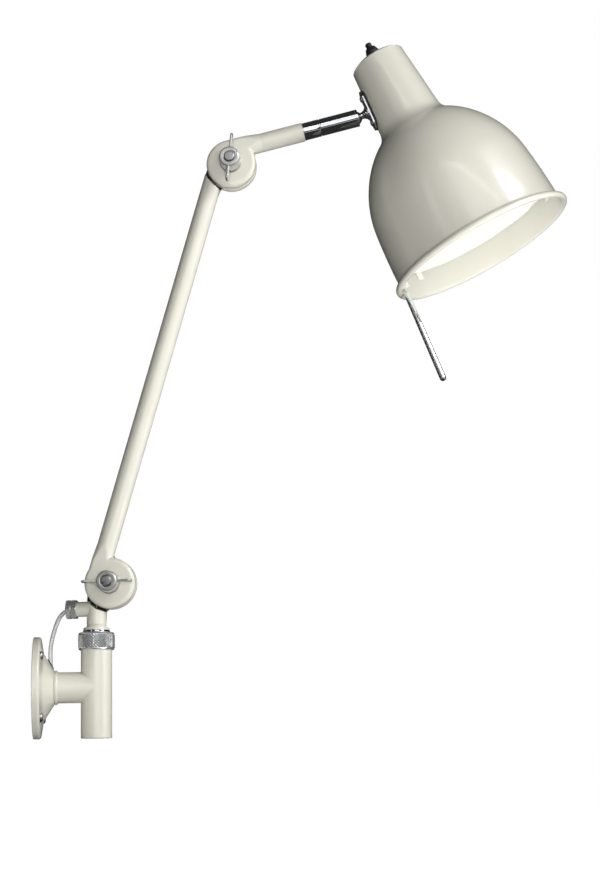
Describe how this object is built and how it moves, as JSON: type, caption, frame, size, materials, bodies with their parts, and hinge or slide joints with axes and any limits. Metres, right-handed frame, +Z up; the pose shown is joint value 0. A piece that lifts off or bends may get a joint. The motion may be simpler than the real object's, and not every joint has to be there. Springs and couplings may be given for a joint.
{
  "type": "wall lamp",
  "caption": "Wall lamp with a swivelling post, two hinged arms, a ball joint, a bell shaped shade, a push switch and a handle.",
  "frame": {"origin": "centre of the wall plate's back face, where it meets the wall", "axes": "+X out from the wall along the plate's axis, +Z up, +Y along the wall"},
  "size_m": [0.5271, 0.209, 0.696],
  "materials": {
    "cream_lacquer": "satin",
    "shade_lacquer": "satin",
    "chrome": "polished",
    "zinc": "satin",
    "steel": "satin",
    "brass": "satin",
    "black_plastic": "matte",
    "black_rubber": "matte",
    "friction_sheet": "matte",
    "opal": "satin",
    "lamp_glass": "satin",
    "clear_lead": "gloss",
    "cover_fibre": "matte"
  },
  "bodies": {
    "bracket": {"wall_plate": "cream_lacquer", "wall_screws": "zinc", "back_cover": "cover_fibre", "neck_ring": "cream_lacquer", "lead_grommet": "black_rubber", "terminal_block": "black_plastic", "bracket_tee": "cream_lacquer", "upper_bush": "brass", "lower_bush": "brass", "clamp_collet": "brass", "supply_lead": "clear_lead"},
    "lock_ring": {"lock_ring": "zinc"},
    "post": {"swivel_post": "cream_lacquer", "post_washer": "chrome", "post_clip": "steel", "post_knuckle": "cream_lacquer", "cable_spigot": "cream_lacquer", "gland_nut": "chrome", "gland_seal": "black_rubber", "lower_hinge_bolt": "zinc", "lower_friction_washer": "friction_sheet", "lower_bolt_washer": "zinc"},
    "lower_wing_nut": {"lower_wing_nut": "zinc"},
    "main_arm": {"arm_lower_knuckle": "cream_lacquer", "arm_tube": "cream_lacquer", "arm_upper_knuckle": "cream_lacquer", "upper_hinge_bolt": "zinc", "upper_friction_washer": "friction_sheet", "upper_bolt_washer": "zinc"},
    "upper_wing_nut": {"upper_wing_nut": "zinc"},
    "forearm": {"forearm_knuckle": "cream_lacquer", "forearm_tube": "cream_lacquer", "swivel_collar": "chrome", "collar_set_screw": "steel", "swivel_spindle": "brass"},
    "barrel": {"swivel_barrel": "chrome", "barrel_end_ring": "chrome", "ball_cup": "brass", "cup_springs": "steel"},
    "shade": {"ball_stem": "chrome", "stem_plate": "chrome", "stem_gasket": "black_rubber", "stem_screws": "zinc", "stem_nut": "brass", "backing_strip": "steel", "shade_shell": "shade_lacquer", "shade_cap": "shade_lacquer", "holder_plate": "steel", "lampholder": "black_plastic", "lamp_bulb": "lamp_glass", "diffuser": "opal", "diffuser_clips": "cream_lacquer", "handle_bracket": "cream_lacquer", "handle_screw": "zinc", "handle_rod": "chrome", "switch_body": "black_plastic", "switch_ring": "chrome", "switch_collar": "black_plastic", "switch_spring": "steel"},
    "switch_button": {"switch_button": "black_plastic"}
  },
  "joints": [
    {"name": "base_swivel", "type": "hinge", "parent": "bracket", "child": "post", "pos_m": [0.06, 0, 0], "axis": [0, 0, 1], "range_deg": [-48, 70], "deforming": ["supply_lead"]},
    {"name": "lock_ring_turn", "type": "hinge", "parent": "bracket", "child": "lock_ring", "pos_m": [0.06, 0, 0], "axis": [0, 0, 1], "range_deg": [0, 270]},
    {"name": "lower_hinge", "type": "hinge", "parent": "post", "child": "main_arm", "pos_m": [0.07402, -0.00257, 0.10058], "axis": [0.1805, 0.9836, 0], "range_deg": [-22, 100]},
    {"name": "lower_wing_nut_turn", "type": "hinge", "parent": "post", "child": "lower_wing_nut", "pos_m": [0.07402, -0.00257, 0.10058], "axis": [-0.1805, -0.9836, 0], "range_deg": [0, 270]},
    {"name": "upper_hinge", "type": "hinge", "parent": "main_arm", "child": "forearm", "pos_m": [0.19597, -0.02496, 0.52296], "axis": [0.1805, 0.9836, 0], "range_deg": [-90, 55]},
    {"name": "upper_wing_nut_turn", "type": "hinge", "parent": "main_arm", "child": "upper_wing_nut", "pos_m": [0.19597, -0.02496, 0.52296], "axis": [-0.1805, -0.9836, 0], "range_deg": [0, 270]},
    {"name": "shade_turn", "type": "hinge", "parent": "forearm", "child": "barrel", "pos_m": [0.32026, -0.04777, 0.5676], "axis": [0.9594, -0.1761, 0.2204], "range_deg": [-175, 175]},
    {"name": "shade_tilt", "type": "hinge", "parent": "barrel", "child": "shade", "pos_m": [0.32026, -0.04777, 0.5676], "axis": [-0.1732, -0.9843, -0.0323], "range_deg": [-45, 18]},
    {"name": "switch_press", "type": "slide", "parent": "shade", "child": "switch_button", "axis": [0.4435, -0.0486, -0.895], "range_m": [0, 0.0025], "stiffness_N_per_m": 400, "springref_m": -0.001, "deforming": ["switch_spring"]}
  ]
}
